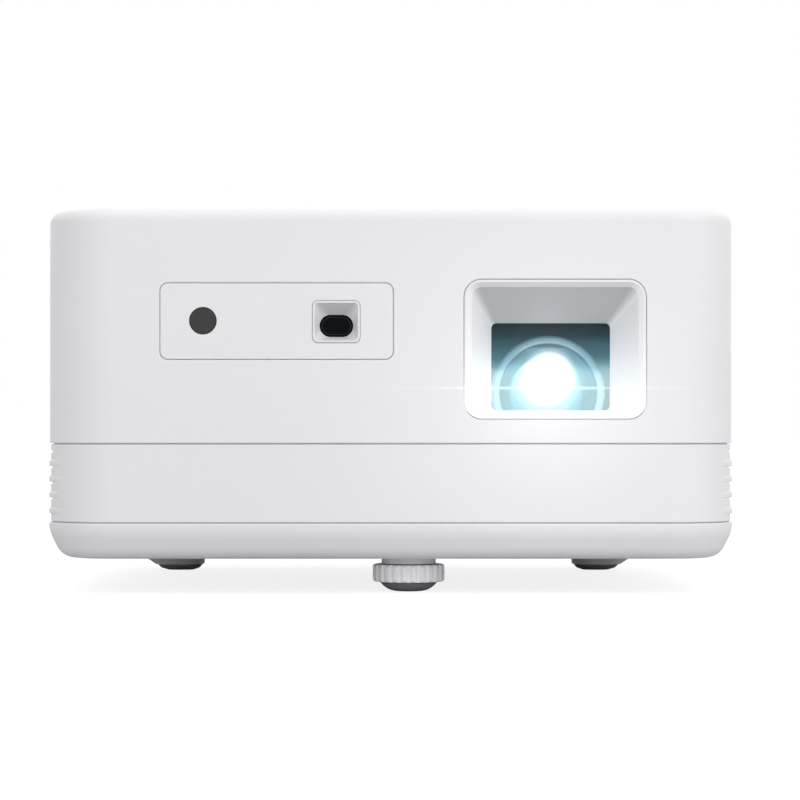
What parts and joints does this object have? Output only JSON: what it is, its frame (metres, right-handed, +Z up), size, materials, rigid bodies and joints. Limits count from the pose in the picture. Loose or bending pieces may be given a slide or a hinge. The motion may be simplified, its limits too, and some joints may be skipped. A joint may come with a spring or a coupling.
{
  "type": "home projector",
  "caption": "Compact home projector: rounded box case, tapered lens recess, sensor panel, louvred side vents, screw foot in front.",
  "frame": {"origin": "on the table under the middle of the case", "axes": "+Z up, -Y out of the lens side, +X towards the side that the lens is on"},
  "size_m": [0.2258, 0.2, 0.125],
  "materials": {
    "shell_white": "satin moulded",
    "band_white": "satin moulded",
    "tray_white": "satin moulded",
    "bezel_white": "smooth satin",
    "panel_white": "satin moulded",
    "grille_white": "satin moulded",
    "window_glass": "clear coated",
    "lens_glass": "clear coated",
    "lens_ring": "frosted edge",
    "barrel_black": "matte",
    "gear_nylon": "moulded nylon",
    "motor_steel": "drawn can",
    "ir_dark": "dark infrared-pass",
    "eye_black": "polished",
    "knob_silver": "satin silver",
    "stud_steel": "plated",
    "insert_brass": "turned",
    "pad_rubber": "matte",
    "engine_black": "glass-filled, matte",
    "mirror_face": "first-surface",
    "panel_glass": "polarised",
    "fresnel_clear": "fine grooves",
    "reflector": "bright",
    "led_board": "white-coated board",
    "sink_aluminium": "extruded",
    "fan_black": "moulded",
    "duct_black": "thin moulded",
    "board_green": "solder mask",
    "chip_black": "epoxy",
    "socket_steel": "tinned",
    "socket_black": "moulded",
    "pin_brass": "nickel-plated",
    "supply_mix": "sleeved parts",
    "screw_steel": "zinc-plated",
    "speaker_black": "moulded",
    "cone_paper": "pressed paper",
    "magnet_iron": "ferrite",
    "button_white": "satin moulded"
  },
  "bodies": {
    "case": {"upper_cover": "shell_white", "vent_band": "band_white", "bottom_tray": "tray_white", "case_posts": "tray_white", "standoffs": "tray_white", "foot_mounts": "tray_white", "case_screws": "screw_steel", "tripod_insert": "insert_brass", "rear_foot_pads": "pad_rubber", "lens_bezel": "bezel_white", "lens_window": "window_glass", "sensor_panel": "panel_white", "ir_window": "ir_dark", "sensor_bezel": "bezel_white", "sensor_window": "eye_black", "sensor_board": "board_green", "ir_receiver": "chip_black", "foot_insert": "insert_brass", "lens_holder": "engine_black", "focus_retainer": "engine_black", "focus_motor": "motor_steel", "engine_housing": "engine_black", "engine_cover": "engine_black", "fold_mirror": "mirror_face", "lcd_panel": "panel_glass", "field_lenses": "fresnel_clear", "condenser_lens": "lens_glass", "light_cone": "reflector", "led_module": "led_board", "led_heatsink": "sink_aluminium", "fan_frame": "fan_black", "fan_duct": "duct_black", "rear_grille": "grille_white", "io_plate": "grille_white", "main_board": "board_green", "board_chips": "chip_black", "inner_screws": "screw_steel", "hdmi_socket": "socket_steel", "usb_socket": "socket_steel", "audio_socket": "socket_black", "mains_inlet": "socket_black", "mains_pins": "pin_brass", "supply_board": "board_green", "supply_parts": "supply_mix", "speaker_boxes": "speaker_black", "speaker_cones": "cone_paper", "speaker_magnets": "magnet_iron", "button_board": "board_green"},
    "foot_carrier": {"foot_pad": "pad_rubber", "foot_pivot": "stud_steel"},
    "foot_screw": {"foot_wheel": "knob_silver", "foot_stud": "stud_steel"},
    "lens_slide": {"lens_barrel": "barrel_black", "lens_front_ring": "lens_ring", "lens_front_element": "lens_glass", "lens_inner_elements": "lens_glass"},
    "focus_gear": {"focus_ring": "gear_nylon"},
    "pinion_shaft": {"focus_pinion": "pin_brass"},
    "fan_wheel": {"fan_rotor": "fan_black"},
    "button_cap": {"power_button": "button_white"}
  },
  "joints": [
    {"name": "foot_lift", "type": "slide", "parent": "case", "child": "foot_carrier", "axis": [0, 0, 1], "range_m": [-0.01, 0]},
    {"name": "foot_turn", "type": "hinge", "parent": "foot_carrier", "child": "foot_screw", "pos_m": [0.006, -0.075, 0.006], "axis": [0, 0, 1], "range_deg": [-1800, 0]},
    {"name": "focus_turn", "type": "hinge", "parent": "case", "child": "focus_gear", "pos_m": [0.0522, -0.0575, 0.0658], "axis": [0, 1, 0], "range_deg": [-60, 60]},
    {"name": "lens_travel", "type": "slide", "parent": "case", "child": "lens_slide", "axis": [0, 1, 0], "range_m": [-0.0015, 0.0015]},
    {"name": "pinion_spin", "type": "hinge", "parent": "case", "child": "pinion_shaft", "pos_m": [0.0234, -0.0575, 0.0658], "axis": [0, 1, 0], "range_deg": [-301, 301]},
    {"name": "fan_spin", "type": "hinge", "parent": "case", "child": "fan_wheel", "pos_m": [-0.058, 0.0875, 0.08], "axis": [0, 1, 0], "continuous": true},
    {"name": "power_press", "type": "slide", "parent": "case", "child": "button_cap", "axis": [0, 0, -1], "range_m": [0, 0.0005], "stiffness_N_per_m": 400}
  ],
  "couplings": [
    {"joint": "foot_turn", "follows": "foot_lift", "rad_per_m": 3141.6},
    {"joint": "focus_turn", "follows": "lens_travel", "rad_per_m": 698.1},
    {"joint": "pinion_spin", "follows": "lens_travel", "rad_per_m": -3490.5}
  ]
}
